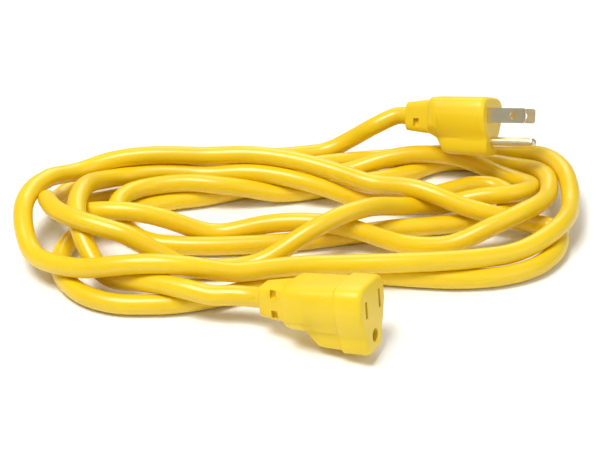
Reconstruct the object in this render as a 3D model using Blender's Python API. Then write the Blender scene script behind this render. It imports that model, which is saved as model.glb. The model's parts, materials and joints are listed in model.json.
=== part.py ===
"""Yellow three-conductor extension cord, loosely wound, with a moulded plug and connector.

World frame: metres, +Z up, floor at z = 0, X along the long way of the hank.
Both ends share one local frame, in millimetres: +X out of the mating face, +Y from the
line blade to the neutral blade, +Z away from the earth pin, origin midway between the
blades on the mating face.
"""

import math

import bmesh
import bpy
from mathutils import Matrix, Vector

MM = 0.001
GAP = 0.3                    # clearance between neighbouring solids

# Cord, moulded wires and contacts (mm)
CORD_RADIUS = 4.0
WIRE_RADIUS = 1.2
COPPER_RADIUS = 0.7
WIRE_LAY_RADIUS = 1.9        # the three wires' distance from the cord's axis
CORD_AXIS_Z = -1.0           # the cord's axis in the local frame of either end

# Blade pattern of a 15 A earthed connection (mm)
BLADE_PITCH = 12.7
BLADE_WIDTH = 6.35
BLADE_THICKNESS = 1.52
BLADE_LENGTH = 17.5
BLADE_TAIL = 14.0            # length held inside the plug
TIP_HOLE_X = 12.2
TIP_HOLE_RADIUS = 1.8
EARTH_DROP = 11.9
EARTH_RADIUS = 2.4
EARTH_LENGTH = 20.6

# T-shaped inner blocks: an upper bar and a lower leg (mm)
BAR_HALF_WIDTH = 9.0
BAR_TOP = 4.5
BAR_BOTTOM = -4.0
LEG_HALF_WIDTH = 4.6
LEG_BOTTOM = -16.2
PLUG_BLOCK_DEPTH = 10.0
CONNECTOR_BLOCK_DEPTH = 16.0
POCKET_DEPTH = 24.0

# Spring contacts inside the connector (mm)
LEAF = 0.7
LEAF_GAP = 1.2
LEAF_HEIGHT = 5.6
CONTACT_FRONT = -3.6
CONTACT_BACK = -15.0
FRONT_WALL = 2.8
SLOT_HALF = {"line": (1.0, 3.4), "neutral": (1.0, 4.0)}

# Moulded bodies as sections along X: x, half width, top, bottom, half width of the leg (mm)
PLUG_SECTIONS = [
    (-40.0, 6.0, 5.6, -7.6, 6.0),
    (-28.0, 7.2, 6.6, -8.8, 7.2),
    (-27.4, 10.8, 7.2, -9.2, 7.6),
    (-26.0, 12.0, 7.8, -10.2, 7.6),
    (-24.4, 12.4, 8.0, -17.3, 7.4),
    (-3.0, 12.4, 8.0, -18.0, 7.4),
    (0.0, 11.4, 7.0, -17.6, 6.6),
]
CONNECTOR_SECTIONS = [
    (-44.0, 5.8, 5.2, -7.2, 5.8),
    (-32.5, 7.2, 6.4, -8.4, 7.2),
    (-32.0, 10.4, 7.2, -10.2, 7.6),
    (-26.0, 11.2, 7.8, -11.0, 7.6),
    (-24.4, 11.4, 8.0, -17.3, 7.4),
    (-11.0, 11.4, 8.2, -17.6, 7.4),
    (-10.0, 12.3, 9.2, -18.4, 8.2),
    (-1.2, 12.3, 9.2, -18.4, 8.2),
    (0.0, 11.5, 8.4, -17.8, 7.6),
]
RING_POINTS = 28
NECK_BACK = {"plug": -40.0, "connector": -44.0}
JACKET_END = {"plug": -30.0, "connector": -34.0}

# Where the two ends lie: mating face origin (mm), direction of +X, direction to the earth pin
PLUG_PLACE = ((85.5, 54.5, 34.0), (0.872, -0.44, 0.20), (-0.03, -0.45, -0.89))
CONNECTOR_PLACE = ((26.5, -75.5, 21.5), (0.90, -0.385, 0.17), (0.10, -0.24, -0.96))

# Hank: outline round the wound turns (mm) and its height
HANK_OUTLINE = [
    (-116.0, 12.0), (-113.0, -18.0), (-99.0, -43.0), (-72.0, -55.0), (-36.0, -47.0),
    (0.0, -41.0), (40.0, -37.0), (82.0, -36.0), (108.0, -18.0), (118.0, 8.0),
    (108.0, 34.0), (82.0, 46.0), (44.0, 54.0), (0.0, 60.0), (-46.0, 66.0), (-92.0, 50.0),
]
HANK_BASE = 0.0
HANK_TOP = 16.5

# Everything moves by this much, so that the origin is under the middle of the whole (mm)
ORIGIN_SHIFT = Vector((-0.4, 2.7, 0.0))

# Leads outside the hank: route points after the straight run out of each neck (mm)
PLUG_LEAD = [(34.0, 73.5, 19.0), (24.0, 76.5, 11.0), (13.0, 76.0, 5.2), (3.0, 71.0, 4.6)]
CONNECTOR_LEAD = [(-26.0, -54.8, 11.6), (-34.0, -54.0, 11.0)]
LEAD_STEP = 9.0

COLOURS = {
    "yellow": ((0.83, 0.63, 0.02), 0.32, 0.0),
    "yellow_inner": ((0.62, 0.47, 0.03), 0.5, 0.0),
    "nickel": ((0.78, 0.74, 0.62), 0.28, 1.0),
    "brass": ((0.72, 0.56, 0.26), 0.3, 1.0),
    "black_wire": ((0.02, 0.02, 0.02), 0.4, 0.0),
    "white_wire": ((0.85, 0.85, 0.82), 0.4, 0.0),
    "green_wire": ((0.03, 0.3, 0.08), 0.4, 0.0),
    "copper": ((0.72, 0.35, 0.2), 0.3, 1.0),
}

# line, neutral, earth: offset of the conductor (y, z), angle in the cord, wire colour
POLES = {
    "line": ((-BLADE_PITCH / 2, 0.0), 150, "black_wire"),
    "neutral": ((BLADE_PITCH / 2, 0.0), 30, "white_wire"),
    "ground": ((0.0, -EARTH_DROP), 270, "green_wire"),
}


def clear_scene():
    for obj in list(bpy.data.objects):
        bpy.data.objects.remove(obj)


def new_collection(name):
    collection = bpy.data.collections.new(name)
    bpy.context.scene.collection.children.link(collection)
    return collection


def material(name):
    found = bpy.data.materials.get(name)
    if found:
        return found
    colour, roughness, metallic = COLOURS[name]
    mat = bpy.data.materials.new(name)
    mat.use_nodes = True
    shader = mat.node_tree.nodes["Principled BSDF"]
    shader.inputs["Base Color"].default_value = (*colour, 1.0)
    shader.inputs["Roughness"].default_value = roughness
    shader.inputs["Metallic"].default_value = metallic
    return mat


def mesh_object(name, bm, mat, place, collection):
    """A mesh object from a bmesh drawn in local millimetres, put at its place."""
    bmesh.ops.scale(bm, vec=(MM, MM, MM), verts=bm.verts)
    bmesh.ops.recalc_face_normals(bm, faces=bm.faces)
    mesh = bpy.data.meshes.new(name)
    bm.to_mesh(mesh)
    bm.free()
    obj = bpy.data.objects.new(name, mesh)
    obj.matrix_world = place
    if mat:
        mesh.materials.append(material(mat))
    collection.objects.link(obj)
    return obj


def add_box(bm, low, high):
    size = [h - l for l, h in zip(low, high)]
    middle = [(h + l) / 2 for l, h in zip(low, high)]
    matrix = Matrix.Translation(middle) @ Matrix.Diagonal((*size, 1.0))
    bmesh.ops.create_cube(bm, size=1.0, matrix=matrix)


def add_rod(bm, radius, start_x, end_x, y=0.0, z=0.0, segments=20):
    """A cylinder along X."""
    middle = Matrix.Translation(((start_x + end_x) / 2, y, z))
    turn = Matrix.Rotation(math.pi / 2, 4, "Y")
    bmesh.ops.create_cone(
        bm,
        cap_ends=True,
        segments=segments,
        radius1=radius,
        radius2=radius,
        depth=end_x - start_x,
        matrix=middle @ turn,
    )


def box(name, low, high, mat, place, collection):
    bm = bmesh.new()
    add_box(bm, low, high)
    return mesh_object(name, bm, mat, place, collection)


def rod(name, radius, start_x, end_x, y, z, mat, place, collection, segments=20):
    bm = bmesh.new()
    add_rod(bm, radius, start_x, end_x, y, z, segments)
    return mesh_object(name, bm, mat, place, collection)


def cutter(obj):
    obj.hide_render = True
    obj.display_type = "WIRE"
    return obj


def boolean(obj, tool, operation="DIFFERENCE"):
    modifier = obj.modifiers.new(tool.name, "BOOLEAN")
    modifier.object = tool
    modifier.operation = operation


def power(value, exponent):
    return math.copysign(abs(value) ** exponent, value)


def section_ring(section):
    """Points of one rounded section, which narrows below the blades into the earth leg."""
    x, half_width, top, bottom, leg = section
    middle = (top + bottom) / 2
    half_height = (top - bottom) / 2
    points = []
    for i in range(RING_POINTS):
        angle = 2 * math.pi * (i + 0.5) / RING_POINTS
        y = half_width * power(math.cos(angle), 0.45)
        z = middle + half_height * power(math.sin(angle), 0.45)
        below = min(max((-5.5 - z) / 4.5, 0.0), 1.0)
        ease = below * below * (3 - 2 * below)
        y *= 1 + ease * (leg / half_width - 1)
        points.append((x, y, z))
    return points


def moulded_body(name, sections, place, collection):
    bm = bmesh.new()
    rings = [[bm.verts.new(p) for p in section_ring(s)] for s in sections]
    for a, b in zip(rings, rings[1:]):
        for i in range(RING_POINTS):
            j = (i + 1) % RING_POINTS
            bm.faces.new((a[i], a[j], b[j], b[i]))
    bm.faces.new(rings[0][::-1])
    bm.faces.new(rings[-1])
    return mesh_object(name, bm, "yellow", place, collection)


def hollow_body(end, sections, place, parts, cutters):
    """The moulded body, with a stepped pocket for the inner block and a bore for the cord."""
    body = moulded_body(end + "_body", sections, place, parts)
    bar = box(end + "_bar_cut", (-POCKET_DEPTH, -BAR_HALF_WIDTH - GAP, BAR_BOTTOM - 0.5),
              (1.0, BAR_HALF_WIDTH + GAP, BAR_TOP + GAP), None, place, cutters)
    leg = box(end + "_leg_cut", (-POCKET_DEPTH, -LEG_HALF_WIDTH - GAP, LEG_BOTTOM - GAP),
              (1.0, LEG_HALF_WIDTH + GAP, BAR_BOTTOM), None, place, cutters)
    bore = rod(end + "_bore_cut", CORD_RADIUS + 2 * GAP, NECK_BACK[end] - 1, 1 - POCKET_DEPTH,
               0.0, CORD_AXIS_Z, None, place, cutters, segments=24)
    for tool in (bar, leg, bore):
        boolean(body, cutter(tool))
    return body


def inner_block(end, depth, place, parts, cutters):
    """The T-shaped carrier, flush with the body's face."""
    block = box(end + "_inner_block", (-depth, -BAR_HALF_WIDTH, BAR_BOTTOM),
                (0.0, BAR_HALF_WIDTH, BAR_TOP), "yellow_inner", place, parts)
    leg = box(end + "_leg_add", (-depth, -LEG_HALF_WIDTH, LEG_BOTTOM),
              (0.0, LEG_HALF_WIDTH, BAR_BOTTOM + 1), None, place, cutters)
    boolean(block, cutter(leg), "UNION")
    return block


def blade(pole, place, parts, cutters):
    (y, _), _, _ = POLES[pole]
    thick = BLADE_THICKNESS / 2
    bm = bmesh.new()
    add_box(bm, (-BLADE_TAIL, y - thick, -BLADE_WIDTH / 2), (BLADE_LENGTH, y + thick, BLADE_WIDTH / 2))
    tip = [e for e in bm.edges if all(v.co.x > 0 for v in e.verts)]
    bmesh.ops.bevel(bm, geom=tip, offset=0.5, segments=2, affect="EDGES")
    piece = mesh_object("plug_blade_" + pole, bm, "nickel", place, parts)
    bm = bmesh.new()
    turn = Matrix.Rotation(math.pi / 2, 4, "X")
    bmesh.ops.create_cone(bm, cap_ends=True, segments=24, radius1=TIP_HOLE_RADIUS,
                          radius2=TIP_HOLE_RADIUS, depth=4.0,
                          matrix=Matrix.Translation((TIP_HOLE_X, y, 0)) @ turn)
    boolean(piece, cutter(mesh_object("tip_hole_" + pole, bm, None, place, cutters)))


def earth_pin(place, parts):
    """A round-nosed pin turned about its own axis."""
    nose = [(EARTH_RADIUS * math.sin(a), EARTH_RADIUS * math.cos(a) - EARTH_RADIUS)
            for a in (math.radians(d) for d in (0, 18, 36, 54, 72, 90))]
    profile = [(r, EARTH_LENGTH + x) for r, x in nose] + [(EARTH_RADIUS, -BLADE_TAIL), (0.0, -BLADE_TAIL)]
    bm = bmesh.new()
    verts = [bm.verts.new((x, r, 0.0)) for r, x in profile]
    edges = [bm.edges.new(pair) for pair in zip(verts, verts[1:])]
    bmesh.ops.spin(bm, geom=verts + edges, cent=(0, 0, 0), axis=(1, 0, 0),
                   angle=2 * math.pi, steps=20, use_merge=True)
    bmesh.ops.remove_doubles(bm, verts=bm.verts, dist=0.001)
    bmesh.ops.translate(bm, vec=(0, 0, -EARTH_DROP), verts=bm.verts)
    mesh_object("plug_ground_pin", bm, "nickel", place, parts)


def plug_block_holes(block, place, cutters):
    side = BLADE_THICKNESS / 2 + GAP
    half = BLADE_WIDTH / 2 + GAP
    for pole in ("line", "neutral"):
        y = POLES[pole][0][0]
        hole = box("block_slot_" + pole, (-20, y - side, -half), (2, y + side, half), None, place, cutters)
        boolean(block, cutter(hole))
    hole = rod("block_pin_hole", EARTH_RADIUS + 1.5 * GAP, -20, 2, 0.0, -EARTH_DROP, None, place, cutters)
    boolean(block, cutter(hole))


def connector_block_holes(block, place, cutters):
    """An entry in the front wall for each blade, and a pocket behind it for its contact."""
    pocket_half = LEAF_GAP / 2 + LEAF + GAP
    for pole in ("line", "neutral"):
        y = POLES[pole][0][0]
        side, half = SLOT_HALF[pole]
        slot = box("entry_" + pole, (-FRONT_WALL - 1, y - side, max(-half, -3.4)), (2, y + side, half),
                   None, place, cutters)
        pocket = box("pocket_" + pole, (-30, y - pocket_half, -LEAF_HEIGHT / 2 - GAP),
                     (-FRONT_WALL, y + pocket_half, LEAF_HEIGHT / 2 + GAP), None, place, cutters)
        boolean(block, cutter(slot))
        boolean(block, cutter(pocket))
    entry = rod("entry_ground", EARTH_RADIUS + 0.2, -FRONT_WALL - 1, 2, 0.0, -EARTH_DROP,
                None, place, cutters)
    pocket = rod("pocket_ground", EARTH_RADIUS + 1.3, -30, -FRONT_WALL, 0.0, -EARTH_DROP,
                 None, place, cutters)
    boolean(block, cutter(entry))
    boolean(block, cutter(pocket))


def leaf_contact(pole, place, parts, cutters):
    """A folded strip: two leaves joined by a web at the back."""
    y = POLES[pole][0][0]
    half = LEAF_GAP / 2 + LEAF
    tall = LEAF_HEIGHT / 2
    piece = box("connector_contact_" + pole, (CONTACT_BACK, y - half, -tall),
                (CONTACT_FRONT, y + half, tall), "brass", place, parts)
    space = box("leaf_space_" + pole, (CONTACT_BACK + 1, y - LEAF_GAP / 2, -tall - 1),
                (0.0, y + LEAF_GAP / 2, tall + 1), None, place, cutters)
    boolean(piece, cutter(space))


def sleeve_contact(place, parts, cutters):
    piece = rod("connector_contact_ground", EARTH_RADIUS + 0.9, CONTACT_BACK, CONTACT_FRONT, 0.0,
                -EARTH_DROP, "brass", place, parts)
    space = rod("sleeve_space", EARTH_RADIUS + 0.1, CONTACT_BACK + 1, 0.0, 0.0, -EARTH_DROP,
                None, place, cutters)
    boolean(piece, cutter(space))


def tube(name, points, radius, mat, collection, resolution=2):
    """A poly-line tube with filled caps through points in metres."""
    curve = bpy.data.curves.new(name, "CURVE")
    curve.dimensions = "3D"
    curve.bevel_depth = radius * MM
    curve.bevel_resolution = resolution
    curve.use_fill_caps = True
    spline = curve.splines.new("POLY")
    spline.points.add(len(points) - 1)
    for point, place in zip(spline.points, points):
        point.co = (*place, 1.0)
    curve.materials.append(material(mat))
    obj = bpy.data.objects.new(name, curve)
    collection.objects.link(obj)


def wires(end, back_of_contact, place, parts):
    """Each wire runs from the jacket's end to its contact and finishes in bare copper."""
    start = JACKET_END[end] + GAP
    bend = 0.5 - POCKET_DEPTH
    stop = back_of_contact - 3.2
    for pole, ((y, z), degrees, colour) in POLES.items():
        angle = math.radians(degrees)
        y0 = WIRE_LAY_RADIUS * math.cos(angle)
        z0 = CORD_AXIS_Z + WIRE_LAY_RADIUS * math.sin(angle)
        path = [(start, y0, z0), (bend, y0, z0), (stop - 1.2, y, z), (stop, y, z)]
        world = [place @ (Vector(p) * MM) for p in path]
        tube("_".join((end, "wire", pole)), world, WIRE_RADIUS, colour, parts)
        rod("_".join((end, "copper", pole)), COPPER_RADIUS, stop + GAP, back_of_contact - GAP,
            y, z, "copper", place, parts, segments=10)


def place_matrix(face, forward, down):
    """World matrix of an end's local frame; the numbers inside it stay millimetres times MM."""
    x_axis = Vector(forward).normalized()
    z_axis = -Vector(down)
    z_axis = (z_axis - x_axis * z_axis.dot(x_axis)).normalized()
    y_axis = z_axis.cross(x_axis)
    turn = Matrix((x_axis, y_axis, z_axis)).transposed().to_4x4()
    return Matrix.Translation((Vector(face) + ORIGIN_SHIFT) * MM) @ turn


def smooth_route(knots, step):
    """Points about a step apart along a Catmull-Rom curve through the knots."""
    ends = [knots[0] * 2 - knots[1]] + knots + [knots[-1] * 2 - knots[-2]]
    points = []
    for a, b, c, d in zip(ends, ends[1:], ends[2:], ends[3:]):
        count = max(1, round((c - b).length / step))
        for i in range(count):
            t = i / count
            points.append(0.5 * (b * 2 + (c - a) * t + (a * 2 - b * 5 + c * 4 - d) * t * t
                                 + (b * 3 - a - c * 3 + d) * t * t * t))
    return points + [knots[-1]]


def lead(end, place, route, parts):
    """The jacket from inside the neck, straight out of it, and on along its route."""
    neck = NECK_BACK[end]
    straight = [JACKET_END[end], neck - 1, neck - 6]
    knots = [place @ (Vector((x, 0.0, CORD_AXIS_Z)) * MM) for x in straight]
    knots += [(Vector(p) + ORIGIN_SHIFT) * MM for p in route]
    tube(end + "_lead", smooth_route(knots, LEAD_STEP * MM), CORD_RADIUS, "yellow", parts)


def hank(parts):
    """The outer shape of the wound turns: an upright slab with a round outline."""
    curve = bpy.data.curves.new("cord_hank", "CURVE")
    curve.dimensions = "2D"
    curve.fill_mode = "BOTH"
    curve.extrude = (HANK_TOP - HANK_BASE) / 2 * MM
    curve.resolution_u = 4
    curve.render_resolution_u = 0
    spline = curve.splines.new("BEZIER")
    spline.use_cyclic_u = True
    spline.bezier_points.add(len(HANK_OUTLINE) - 1)
    for point, (x, y) in zip(spline.bezier_points, HANK_OUTLINE):
        point.co = (x * MM, y * MM, 0.0)
        point.handle_left_type = "AUTO"
        point.handle_right_type = "AUTO"
    curve.materials.append(material("yellow"))
    obj = bpy.data.objects.new("cord_hank", curve)
    middle = Vector((0.0, 0.0, (HANK_TOP + HANK_BASE) / 2))
    obj.location = (middle + ORIGIN_SHIFT) * MM
    parts.objects.link(obj)


def build_plug(parts, cutters):
    place = place_matrix(*PLUG_PLACE)
    hollow_body("plug", PLUG_SECTIONS, place, parts, cutters)
    block = inner_block("plug", PLUG_BLOCK_DEPTH, place, parts, cutters)
    plug_block_holes(block, place, cutters)
    blade("line", place, parts, cutters)
    blade("neutral", place, parts, cutters)
    earth_pin(place, parts)
    wires("plug", -BLADE_TAIL, place, parts)
    lead("plug", place, PLUG_LEAD, parts)


def build_connector(parts, cutters):
    place = place_matrix(*CONNECTOR_PLACE)
    hollow_body("connector", CONNECTOR_SECTIONS, place, parts, cutters)
    block = inner_block("connector", CONNECTOR_BLOCK_DEPTH, place, parts, cutters)
    connector_block_holes(block, place, cutters)
    leaf_contact("line", place, parts, cutters)
    leaf_contact("neutral", place, parts, cutters)
    sleeve_contact(place, parts, cutters)
    wires("connector", CONTACT_BACK, place, parts)
    lead("connector", place, CONNECTOR_LEAD, parts)


def main():
    clear_scene()
    parts = new_collection("extension_cord")
    cutters = new_collection("cutters")
    build_plug(parts, cutters)
    build_connector(parts, cutters)
    hank(parts)


main()
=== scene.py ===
"""Looks of the yellow extension cord: the wound cord, both moulded ends, materials, stage and camera."""

import json
import math

import bmesh
import bpy
import numpy as np
from mathutils import Matrix, Vector


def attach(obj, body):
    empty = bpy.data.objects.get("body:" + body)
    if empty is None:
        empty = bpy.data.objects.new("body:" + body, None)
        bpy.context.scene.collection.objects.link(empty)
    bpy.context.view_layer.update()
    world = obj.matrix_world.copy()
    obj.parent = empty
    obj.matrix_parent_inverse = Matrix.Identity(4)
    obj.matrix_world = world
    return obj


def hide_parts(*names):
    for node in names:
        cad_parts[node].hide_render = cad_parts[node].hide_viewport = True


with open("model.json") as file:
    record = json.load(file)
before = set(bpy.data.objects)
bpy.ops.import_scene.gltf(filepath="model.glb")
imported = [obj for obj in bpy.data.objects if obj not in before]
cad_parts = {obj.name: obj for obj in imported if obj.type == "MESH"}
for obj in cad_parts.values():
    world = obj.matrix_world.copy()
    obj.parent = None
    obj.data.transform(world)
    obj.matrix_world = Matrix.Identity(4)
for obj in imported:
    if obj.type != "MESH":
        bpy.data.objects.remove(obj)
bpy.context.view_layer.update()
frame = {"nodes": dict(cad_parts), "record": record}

MM = 0.001
ORIGIN_SHIFT = np.array([-0.4, 2.7, 0.0])   # mm, as in the part's source

# Cord (mm, metres where named so)
CORD_RADIUS = 4.0
CORD_DIAMETER = 2 * CORD_RADIUS
CORD_AXIS_Z = -1.0
POINT_STEP = 2.5
HUMP_HEIGHT = 8.0
HUMP_REACH = 25.0
SMOOTH_REACH = 6.0
SETTLE_ROUNDS = 7
SQUEEZE_ABOVE = 20.0         # mm; stacks higher than this nestle into each other
SQUEEZE = 0.5
JOIN = 6                     # wound points that the leads' curves share
LAYER_STEP = 0.02
SAME_STRETCH = 25.0          # mm along the cord within which it can't lie on itself
CORD_ROUNDNESS = 8

# Mating face origin (mm), direction out of the face, direction to the earth pin
PLUG_PLACE = ((85.5, 54.5, 34.0), (0.872, -0.44, 0.20), (-0.03, -0.45, -0.89))
CONNECTOR_PLACE = ((26.5, -75.5, 21.5), (0.90, -0.385, 0.17), (0.10, -0.24, -0.96))
NECK_BACK = {"plug": -40.0, "connector": -44.0}
CORD_IN_NECK = 8.0
CORD_AT_MOUTH = -1.0
CORD_STRAIGHT_OUT = -7.0

# The route from the plug to the connector: x and y in mm, and the layer it lies in.
# The turns are uneven, so each strand is listed instead of looped. The list was traced and
# rounded to 1 mm, then partly adjusted.
# A higher layer lies on a lower one wherever the two cross.
PLUG_LEAD = [(34.0, 73.5, 19.0), (24.0, 76.5, 11.0), (13.0, 76.0, 5.2)]
CONNECTOR_LEAD = [(-34.0, -54.0, 11.0), (-26.0, -54.8, 11.6)]
TURNS = [
    # plug lead, far side
    (0, 74, 1), (-18, 71, 1), (-36, 69, 1), (-54, 66, 1), (-73, 61, 1), (-87, 55, 1),
    # second loop on the left
    (-99, 47, 1.2), (-106, 34, 3), (-108, 20, 5), (-106, 7, 7), (-101, -6, 7), (-92, -15, 7),
    (-79, -21, 7),
    # over the near strands
    (-60, -25, 7), (-40, -25, 7), (-24, -23, 7), (-8, -19, 7), (8, -12, 7), (22, -3, 7),
    (36, 8, 6), (50, 18, 4), (63, 23, 2),
    # inner right loop
    (76, 23, 2), (90, 23, 3), (99, 28, 5), (102, 37, 5), (98, 48, 5), (89, 55, 5),
    (79, 59, 5), (68, 60, 4.5),
    # far strand to the left
    (55, 60, 4), (41, 59, 3), (25, 57, 2), (7, 53, 1), (-11, 47, 1), (-27, 40, 1),
    (-42, 34, 1), (-57, 30, 1), (-70, 24, 1), (-82, 17, 1), (-91, 7, 1),
    # front left bottom loop
    (-97, -6, 1), (-98, -19, 1), (-94, -32, 1), (-85, -43, 1), (-73, -49, 1), (-60, -50, 1),
    (-47, -49, 1), (-33, -45, 1), (-21, -40, 1), (-8, -34, 1), (4, -30, 1), (18, -28, 1),
    (32, -29, 1),
    # outer front strand
    (48, -31, 1), (64, -32, 1), (80, -30, 1), (94, -24, 1), (103, -15, 1), (108, -5, 2),
    (109, 4, 4), (105, 9, 6),
    # top run
    (96, 9, 8), (84, 8, 8), (72, 10, 8), (59, 15, 8), (45, 22, 8), (32, 28, 8),
    (18, 33, 8), (0, 39, 8), (-18, 43, 8), (-35, 45, 8), (-53, 45, 8), (-71, 44, 8),
    (-86, 41, 8),
    # outer left loop
    (-98, 34, 8), (-107, 23, 8), (-113, 10, 8), (-114, -5, 8), (-110, -19, 8), (-102, -29, 8),
    (-90, -36, 8), (-76, -41, 8), (-60, -43, 8), (-43, -43, 8), (-25, -40, 8), (-10, -36, 8),
    # long near strand
    (6, -33, 8), (22, -32, 9), (39, -32, 9), (55, -31, 9), (70, -28, 9), (85, -22, 9),
    (99, -13, 9.5),
    # outer right loop
    (110, 0, 9.5), (116, 17, 9.5), (117, 37, 8), (113, 55, 6), (106, 68, 5), (95, 75, 4),
    (81, 77, 4), (64, 75, 3.5),
    # far strand under the top run
    (47, 72, 3), (30, 69, 3), (14, 66, 3), (0, 62, 3), (-14, 57, 3), (-29, 53, 3),
    (-45, 49, 3), (-60, 44, 3), (-73, 37, 3), (-84, 31, 3), (-92, 23, 3),
    # inner left loop
    (-96, 13, 3), (-91, 5, 3), (-81, 2, 4), (-67, 1, 4), (-50, 1, 4), (-34, 2, 4),
    (-17, 2, 4), (0, 0, 4), (17, -3, 4), (33, -6, 5), (47, -7, 6),
    # upper right strand
    (62, -7, 8), (77, -4, 8.5), (90, 2, 8.7), (101, 12, 8.7), (108, 26, 8.7), (109, 42, 7),
    (103, 57, 5), (92, 65, 3), (78, 67, 2), (64, 65, 1.5),
    # hidden far strand
    (48, 55, 1), (30, 48, 1), (9, 41, 1), (-13, 35, 1.1), (-33, 32, 1.2), (-51, 33, 1.5),
    (-66, 30, 1.7), (-75, 23, 1.7), (-78, 12, 1), (-73, 1, 1), (-61, -5, 1), (-42, -7, 1),
    (-21, -6, 1), (0, -3, 1), (21, 2, 1),
    # rising right strand
    (40, 7, 1), (55, 9, 1), (71, 12, 1), (84, 18, 1), (92, 26, 1.5), (93, 36, 2.5),
    (87, 44, 3.5), (78, 45, 4),
    # last far strand
    (69, 41, 4.5), (55, 34, 5), (39, 31, 6), (22, 31, 6), (4, 34, 6), (-13, 38, 6),
    (-31, 41, 6), (-49, 43, 6), (-67, 42, 6),
    # third loop on the left
    (-80, 37, 6), (-88, 26, 6), (-92, 11, 6), (-92, -4, 6), (-88, -18, 5), (-81, -29, 4),
    (-72, -37, 3), (-62, -43, 2.5), (-53, -47, 2.2), (-44, -51, 2),
]

# Moulded bodies: x, half width, top, bottom, half width of the leg (mm)
PLUG_SECTIONS = [
    (-40.2, 5.2, 4.8, -6.8, 5.2), (-39.6, 5.9, 5.5, -7.5, 5.9), (-34.0, 6.6, 6.1, -8.2, 6.6),
    (-28.3, 7.2, 6.6, -8.8, 7.2), (-27.6, 9.0, 6.9, -9.0, 7.6), (-27.1, 10.6, 7.2, -9.3, 7.8),
    (-26.0, 11.7, 7.7, -9.9, 8.0), (-24.0, 12.2, 8.0, -11.0, 8.0), (-22.4, 12.4, 8.1, -14.0, 8.0),
    (-21.2, 12.4, 8.1, -16.8, 7.8), (-19.0, 12.4, 8.1, -17.6, 7.6), (-10.0, 12.4, 8.1, -18.0, 7.6),
    (-2.4, 12.4, 8.1, -18.1, 7.6), (-0.8, 12.1, 7.8, -17.9, 7.4), (0.0, 11.5, 7.2, -17.5, 6.9),
    (0.2, 10.9, 6.6, -17.0, 6.4),
]
CONNECTOR_SECTIONS = [
    (-44.2, 5.0, 4.4, -6.4, 5.0), (-43.6, 5.7, 5.1, -7.1, 5.7), (-38.0, 6.5, 5.8, -7.8, 6.5),
    (-33.0, 7.2, 6.4, -8.4, 7.2), (-32.4, 8.8, 6.8, -9.4, 7.5), (-31.9, 10.2, 7.2, -10.2, 7.8),
    (-30.6, 10.9, 7.7, -10.7, 8.0), (-24.5, 11.2, 7.9, -11.0, 8.0), (-22.6, 11.3, 8.0, -14.0, 7.9),
    (-20.4, 11.4, 8.1, -16.6, 7.7), (-18.0, 11.4, 8.2, -17.2, 7.6), (-11.2, 11.4, 8.3, -17.5, 7.6),
    (-10.7, 11.8, 8.7, -17.9, 8.0), (-10.1, 12.3, 9.2, -18.4, 8.4), (-1.6, 12.3, 9.2, -18.5, 8.4),
    (-0.6, 12.0, 8.9, -18.2, 8.1), (0.0, 11.5, 8.4, -17.7, 7.6), (0.2, 10.9, 7.8, -17.2, 7.1),
]
RING_POINTS = 72
CORNER_POWER = 0.42
LEG_BELOW = -5.5             # the section starts to narrow into the leg here, over LEG_BLEND
LEG_BLEND = 4.5
SHARP_ANGLE = math.radians(32)

# Blade pattern and the openings in the two faces (mm)
POLE_Y = 6.35
EARTH_Z = -11.9
FACE_PROUD = 2.0             # cutters reach this far past a face
BLADE_HALF = (0.8, 3.22)     # half thickness and half width of the blade holes
BLADE_HOLE_DEPTH = 3.0
PIN_HOLE_RADIUS = 2.45
SLOT_NEAR = 5.4
SLOT_FAR = 7.3
SLOT_HALF = 3.3
NEUTRAL_TOP = 3.9
SLOT_DEPTH = 14.0
EARTH_HOLE_RADIUS = 2.55
HOLE_SEGMENTS = 40

# Flex notches in the necks (mm): place along X, and low and high Z of each row
PLUG_NOTCHES = (-34.2, [(-5.6, -2.0)])
CONNECTOR_NOTCHES = (-37.2, [(1.6, 4.8), (-6.4, -3.2)])
NOTCH_HALF_LENGTH = 1.4
NOTCH_DEPTH = 2.0
NOTCH_CLEAR = 3.0
NOTCH_NECK_HALF = 6.6

# Camera and stage
CAMERA_ELEVATION = math.radians(31.0)
CAMERA_DISTANCE = 560.0
CAMERA_LENS = 80.4
CAMERA_SENSOR = 36.0
CAMERA_TARGET = (0.0, 0.0, 10.0)
FLOOR_SIZE = 6.0             # m
FLOOR_DROP = -0.0002         # m, so that the floor doesn't share a plane with the cord
WORLD_STRENGTH = 0.34
LIGHTS = [                   # name, place (m), size (m), power (W)
    ("key", (-0.3, -0.25, 1.0), 0.45, 10.0),
    ("fill", (0.8, -0.6, 0.6), 0.8, 2.2),
    ("back", (0.1, 0.8, 0.7), 0.6, 3.0),
]


def place_matrix(face, forward, down):
    x_axis = Vector(forward).normalized()
    z_axis = -Vector(down)
    z_axis = (z_axis - x_axis * z_axis.dot(x_axis)).normalized()
    y_axis = z_axis.cross(x_axis)
    turn = Matrix((x_axis, y_axis, z_axis)).transposed().to_4x4()
    return Matrix.Translation((Vector(face) + Vector(ORIGIN_SHIFT)) * MM) @ turn


# ---------------------------------------------------------------- materials

def principled(name, colour, roughness, metallic=0.0):
    mat = bpy.data.materials.new(name)
    mat.use_nodes = True
    shader = mat.node_tree.nodes["Principled BSDF"]
    shader.inputs["Base Color"].default_value = (*colour, 1.0)
    shader.inputs["Roughness"].default_value = roughness
    shader.inputs["Metallic"].default_value = metallic
    return mat, mat.node_tree.nodes, mat.node_tree.links, shader


def noise(nodes, links, scale, detail=3.0):
    where = nodes.new("ShaderNodeTexCoord")
    texture = nodes.new("ShaderNodeTexNoise")
    texture.inputs["Scale"].default_value = scale
    texture.inputs["Detail"].default_value = detail
    links.new(where.outputs["Object"], texture.inputs["Vector"])
    return texture.outputs["Fac"]


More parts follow.
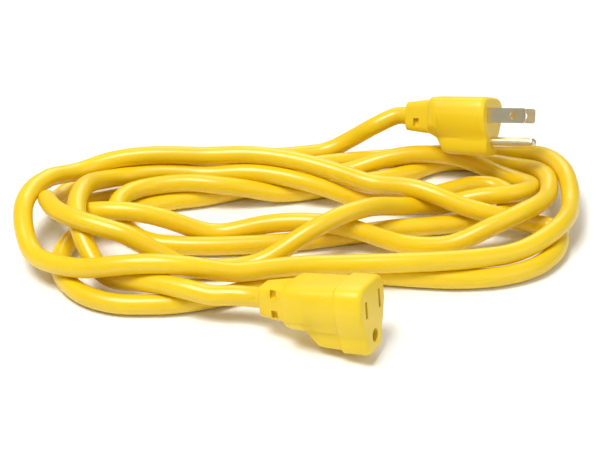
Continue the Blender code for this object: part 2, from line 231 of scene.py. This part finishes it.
def ramp(nodes, links, source, low, high):
    node = nodes.new("ShaderNodeValToRGB")
    node.color_ramp.elements[0].position = 0.3
    node.color_ramp.elements[1].position = 0.7
    node.color_ramp.elements[0].color = (*low, 1.0)
    node.color_ramp.elements[1].color = (*high, 1.0)
    links.new(source, node.inputs["Fac"])
    return node.outputs["Color"]


def plastic(name, low, high, roughness, spread=0.06, grain=1800.0, depth=0.00002, coat=0.0):
    """Moulded plastic: a slight drift of colour, uneven gloss and a fine grain."""
    mat, nodes, links, shader = principled(name, high, roughness)
    broad = noise(nodes, links, 35.0)
    links.new(ramp(nodes, links, broad, low, high), shader.inputs["Base Color"])
    span = nodes.new("ShaderNodeMapRange")
    span.inputs["To Min"].default_value = roughness - spread
    span.inputs["To Max"].default_value = roughness + spread
    links.new(noise(nodes, links, 120.0), span.inputs["Value"])
    links.new(span.outputs["Result"], shader.inputs["Roughness"])
    bump = nodes.new("ShaderNodeBump")
    bump.inputs["Strength"].default_value = 0.35
    bump.inputs["Distance"].default_value = depth
    links.new(noise(nodes, links, grain, 2.0), bump.inputs["Height"])
    links.new(bump.outputs["Normal"], shader.inputs["Normal"])
    shader.inputs["Coat Weight"].default_value = coat
    shader.inputs["Coat Roughness"].default_value = 0.25
    return mat


def metal(name, low, high, roughness):
    mat, nodes, links, shader = principled(name, high, roughness, 1.0)
    links.new(ramp(nodes, links, noise(nodes, links, 90.0), low, high), shader.inputs["Base Color"])
    span = nodes.new("ShaderNodeMapRange")
    span.inputs["To Min"].default_value = roughness - 0.06
    span.inputs["To Max"].default_value = roughness + 0.08
    links.new(noise(nodes, links, 600.0), span.inputs["Value"])
    links.new(span.outputs["Result"], shader.inputs["Roughness"])
    return mat


LOOKS = {
    "yellow_jacket": plastic("jacket", (0.80, 0.53, 0.004), (0.87, 0.60, 0.006), 0.34, coat=0.2),
    "yellow_pvc": plastic("moulded_pvc", (0.82, 0.56, 0.006), (0.89, 0.63, 0.01), 0.42, grain=1200.0),
    "inner_pvc": plastic("inner_pvc", (0.40, 0.27, 0.003), (0.5, 0.34, 0.005), 0.5),
    "nickel": metal("plated_blade", (0.76, 0.67, 0.45), (0.87, 0.79, 0.57), 0.3),
    "contact_brass": metal("contact_brass", (0.66, 0.48, 0.2), (0.78, 0.6, 0.3), 0.33),
    "black_wire": plastic("black_wire", (0.012, 0.012, 0.012), (0.025, 0.025, 0.025), 0.4),
    "white_wire": plastic("white_wire", (0.74, 0.74, 0.7), (0.82, 0.82, 0.79), 0.4),
    "green_wire": plastic("green_wire", (0.02, 0.22, 0.05), (0.03, 0.3, 0.08), 0.4),
    "copper": metal("copper", (0.6, 0.26, 0.14), (0.78, 0.4, 0.24), 0.32),
}


def dress_nodes():
    """Every CAD node that stays takes the look of its record slot."""
    for entry in frame["record"]["subparts"]:
        obj = frame["nodes"][entry["node"]]
        obj.data.materials.clear()
        obj.data.materials.append(LOOKS[entry["material_slot"]])


# ---------------------------------------------------------------- cord

def segment_count(a, b, step):
    return max(1, round(float(np.linalg.norm((np.asarray(b) - np.asarray(a))[:2])) / step))


def catmull_rom(knots, step):
    """Points about a step apart along a smooth curve through the knots."""
    knots = np.asarray(knots, float)
    ends = np.vstack([2 * knots[0] - knots[1], knots, 2 * knots[-1] - knots[-2]])
    points = []
    for a, b, c, d in zip(ends, ends[1:], ends[2:], ends[3:]):
        count = segment_count(b, c, step)
        for i in range(count):
            t = i / count
            points.append(0.5 * (2 * b + (c - a) * t + (2 * a - 5 * b + 4 * c - d) * t * t
                                 + (3 * b - a - 3 * c + d) * t ** 3))
    points.append(knots[-1])
    return np.array(points)


def smooth(values, distance, reach):
    """Average of the neighbours along the cord, weighted by how near they are."""
    weight = np.exp(-0.5 * (distance / reach) ** 2)
    return weight @ values / weight.sum(axis=1)


def settle(points, layers):
    """Heights of a cord laid in layers: each stretch rests on the ones below it, in long low humps."""
    along = np.concatenate([[0], np.cumsum(np.linalg.norm(np.diff(points, axis=0), axis=1))])
    apart = np.abs(along[:, None] - along[None, :])
    plan = np.linalg.norm(points[:, None, :] - points[None, :, :], axis=2)
    below = (layers[None, :] < layers[:, None] - LAYER_STEP) & (plan < CORD_DIAMETER) & (apart > SAME_STRETCH)
    lift = np.sqrt(np.maximum(CORD_DIAMETER ** 2 - plan ** 2, 0.0))
    hump = HUMP_HEIGHT * (apart / HUMP_REACH) ** 2
    heights = np.full(len(points), CORD_RADIUS)
    for _ in range(SETTLE_ROUNDS):
        needed = np.where(below, heights[None, :] + lift, CORD_RADIUS).max(axis=1)
        raised = (needed[None, :] - hump).max(axis=1)
        heights = np.maximum(smooth(raised, apart, SMOOTH_REACH), CORD_RADIUS)
    over = np.maximum(heights - SQUEEZE_ABOVE, 0.0)
    return heights - over * (1 - SQUEEZE)


def neck_points(place, end, offsets):
    """Points straight out of the back of a neck, in mm."""
    return [tuple((place @ (Vector((NECK_BACK[end] + x, 0.0, CORD_AXIS_Z)) * MM)) / MM) for x in offsets]


def cord_route():
    """The whole centreline in mm, from inside the plug's neck to inside the connector's."""
    turns = catmull_rom(TURNS, POINT_STEP)
    heights = settle(turns[:, :2], turns[:, 2])
    wound = np.column_stack([turns[:, :2], heights]) + ORIGIN_SHIFT
    start = neck_points(PLUG_AT, "plug", (CORD_IN_NECK, CORD_AT_MOUTH, CORD_STRAIGHT_OUT))
    start += [tuple(np.array(p) + ORIGIN_SHIFT) for p in PLUG_LEAD]
    stop = [tuple(np.array(p) + ORIGIN_SHIFT) for p in CONNECTOR_LEAD]
    stop += neck_points(CONNECTOR_AT, "connector", (CORD_STRAIGHT_OUT, CORD_AT_MOUTH, CORD_IN_NECK))
    first = catmull_rom(start + [tuple(wound[0]), tuple(wound[JOIN])], POINT_STEP)
    last = catmull_rom([tuple(wound[-1 - JOIN]), tuple(wound[-1])] + stop, POINT_STEP)
    first_over = segment_count(wound[0], wound[JOIN], POINT_STEP) + 1
    last_over = segment_count(wound[-1 - JOIN], wound[-1], POINT_STEP) + 1
    return np.vstack([first[:-first_over], wound, last[last_over:]])


def build_cord():
    route = cord_route() * MM
    curve = bpy.data.curves.new("cord", "CURVE")
    curve.dimensions = "3D"
    curve.bevel_depth = CORD_RADIUS * MM
    curve.bevel_resolution = CORD_ROUNDNESS
    curve.use_fill_caps = True
    spline = curve.splines.new("POLY")
    spline.points.add(len(route) - 1)
    for point, at in zip(spline.points, route):
        point.co = (*at, 1.0)
    spline.use_smooth = True
    curve.materials.append(LOOKS["yellow_jacket"])
    obj = bpy.data.objects.new("cord", curve)
    bpy.context.collection.objects.link(obj)
    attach(obj, "root")
    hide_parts("cord_hank", "plug_lead", "connector_lead")


# ---------------------------------------------------------------- moulded ends

def power(value):
    return math.copysign(abs(value) ** CORNER_POWER, value)


def section_ring(section):
    """One rounded section, which narrows below the blades into the earth leg."""
    x, half_width, top, bottom, leg = section
    middle = (top + bottom) / 2
    half_height = (top - bottom) / 2
    points = []
    for i in range(RING_POINTS):
        angle = 2 * math.pi * (i + 0.5) / RING_POINTS
        z = middle + half_height * power(math.sin(angle))
        below = min(max((LEG_BELOW - z) / LEG_BLEND, 0.0), 1.0)
        ease = below * below * (3 - 2 * below)
        y = half_width * power(math.cos(angle)) * (1 + ease * (leg / half_width - 1))
        points.append((x * MM, y * MM, z * MM))
    return points


def add_block(bm, low, high):
    size = [(h - l) * MM for l, h in zip(low, high)]
    middle = [(h + l) / 2 * MM for l, h in zip(low, high)]
    bmesh.ops.create_cube(bm, size=1.0, matrix=Matrix.Translation(middle) @ Matrix.Diagonal((*size, 1.0)))


def cut(obj, boxes, holes=()):
    """Cut boxes, and round holes along X given as (radius, from x, to x, y, z), out of a body."""
    bm = bmesh.new()
    for low, high in boxes:
        add_block(bm, low, high)
    for radius, start, stop, y, z in holes:
        middle = Matrix.Translation((Vector((start + stop, 2 * y, 2 * z)) / 2) * MM)
        bmesh.ops.create_cone(
            bm,
            cap_ends=True,
            segments=HOLE_SEGMENTS,
            radius1=radius * MM,
            radius2=radius * MM,
            depth=(stop - start) * MM,
            matrix=middle @ Matrix.Rotation(math.pi / 2, 4, "Y"),
        )
    mesh = bpy.data.meshes.new(obj.name + "_cut")
    bm.to_mesh(mesh)
    bm.free()
    tool = bpy.data.objects.new(mesh.name, mesh)
    tool.matrix_world = obj.matrix_world
    bpy.context.collection.objects.link(tool)
    modifier = obj.modifiers.new("cut", "BOOLEAN")
    modifier.object = tool
    bpy.context.view_layer.update()
    graph = bpy.context.evaluated_depsgraph_get()
    obj.data = bpy.data.meshes.new_from_object(obj.evaluated_get(graph))
    obj.modifiers.clear()
    bpy.data.objects.remove(tool)


def moulded_end(name, node, sections, place, boxes, holes=()):
    bm = bmesh.new()
    rings = [[bm.verts.new(p) for p in section_ring(s)] for s in sections]
    for a, b in zip(rings, rings[1:]):
        for i in range(RING_POINTS):
            j = (i + 1) % RING_POINTS
            bm.faces.new((a[i], a[j], b[j], b[i]))
    bm.faces.new(rings[0][::-1])
    bm.faces.new(rings[-1])
    bmesh.ops.recalc_face_normals(bm, faces=bm.faces)
    mesh = bpy.data.meshes.new(name)
    bm.to_mesh(mesh)
    bm.free()
    mesh.materials.append(LOOKS["yellow_pvc"])
    obj = bpy.data.objects.new(name, mesh)
    obj.matrix_world = place
    bpy.context.collection.objects.link(obj)
    cut(obj, boxes, holes)
    obj.data.shade_smooth()
    obj.data.set_sharp_from_angle(angle=SHARP_ANGLE)
    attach(obj, "root")
    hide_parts(node)
    return obj


def neck_notches(x, rows):
    """Flex notches on both sides of a neck; rows are (low z, high z)."""
    back = x - NOTCH_HALF_LENGTH
    front = x + NOTCH_HALF_LENGTH
    outer = NOTCH_NECK_HALF + NOTCH_CLEAR
    inner = NOTCH_NECK_HALF - NOTCH_DEPTH
    boxes = []
    for low, high in rows:
        boxes.append(((back, -outer, low), (front, -inner, high)))
        boxes.append(((back, inner, low), (front, outer, high)))
    return boxes


def build_plug():
    """The blades and the pin leave through close holes in the face."""
    thick, wide = BLADE_HALF
    boxes = neck_notches(*PLUG_NOTCHES)
    for y in (-POLE_Y, POLE_Y):
        boxes.append(((-BLADE_HOLE_DEPTH, y - thick, -wide), (FACE_PROUD, y + thick, wide)))
    pin_hole = (PIN_HOLE_RADIUS, -BLADE_HOLE_DEPTH, FACE_PROUD, 0.0, EARTH_Z)
    return moulded_end("plug_moulding", "plug_body", PLUG_SECTIONS, PLUG_AT, boxes, [pin_hole])


def build_connector():
    """Two slots, the neutral one taller, and a round earth hole."""
    boxes = neck_notches(*CONNECTOR_NOTCHES)
    boxes.append(((-SLOT_DEPTH, -SLOT_FAR, -SLOT_HALF), (FACE_PROUD, -SLOT_NEAR, SLOT_HALF)))
    boxes.append(((-SLOT_DEPTH, SLOT_NEAR, -SLOT_HALF), (FACE_PROUD, SLOT_FAR, NEUTRAL_TOP)))
    earth_hole = (EARTH_HOLE_RADIUS, -SLOT_DEPTH, FACE_PROUD, 0.0, EARTH_Z)
    return moulded_end("connector_moulding", "connector_body", CONNECTOR_SECTIONS, CONNECTOR_AT,
                       boxes, [earth_hole])


# ---------------------------------------------------------------- stage

def area_light(name, at, size, energy):
    light = bpy.data.lights.new(name, "AREA")
    light.size = size
    light.energy = energy
    obj = bpy.data.objects.new(name, light)
    obj.location = at
    obj.rotation_euler = (-Vector(at)).to_track_quat("-Z", "Y").to_euler()
    bpy.context.collection.objects.link(obj)


def build_stage():
    bpy.ops.mesh.primitive_plane_add(size=FLOOR_SIZE, location=(0, 0, FLOOR_DROP))
    floor = bpy.context.object
    floor.name = "floor"
    mat, _, _, _ = principled("floor", (0.93, 0.93, 0.92), 0.8)
    floor.data.materials.append(mat)
    for light in LIGHTS:
        area_light(*light)
    world = bpy.data.worlds.new("studio")
    world.use_nodes = True
    world.node_tree.nodes["Background"].inputs["Color"].default_value = (1.0, 1.0, 1.0, 1.0)
    world.node_tree.nodes["Background"].inputs["Strength"].default_value = WORLD_STRENGTH
    bpy.context.scene.world = world
    bpy.context.scene.view_settings.view_transform = "Standard"


def build_camera():
    data = bpy.data.cameras.new("camera")
    data.lens = CAMERA_LENS
    data.sensor_width = CAMERA_SENSOR
    camera = bpy.data.objects.new("camera", data)
    target = Vector(CAMERA_TARGET) + Vector(ORIGIN_SHIFT)
    back = Vector((0.0, -math.cos(CAMERA_ELEVATION), math.sin(CAMERA_ELEVATION)))
    camera.location = (target + back * CAMERA_DISTANCE) * MM
    camera.rotation_euler = (math.pi / 2 - CAMERA_ELEVATION, 0.0, 0.0)
    bpy.context.collection.objects.link(camera)
    bpy.context.scene.camera = camera


PLUG_AT = place_matrix(*PLUG_PLACE)
CONNECTOR_AT = place_matrix(*CONNECTOR_PLACE)
build_camera()
dress_nodes()
build_plug()
CONNECTOR = build_connector()
build_cord()
build_stage()
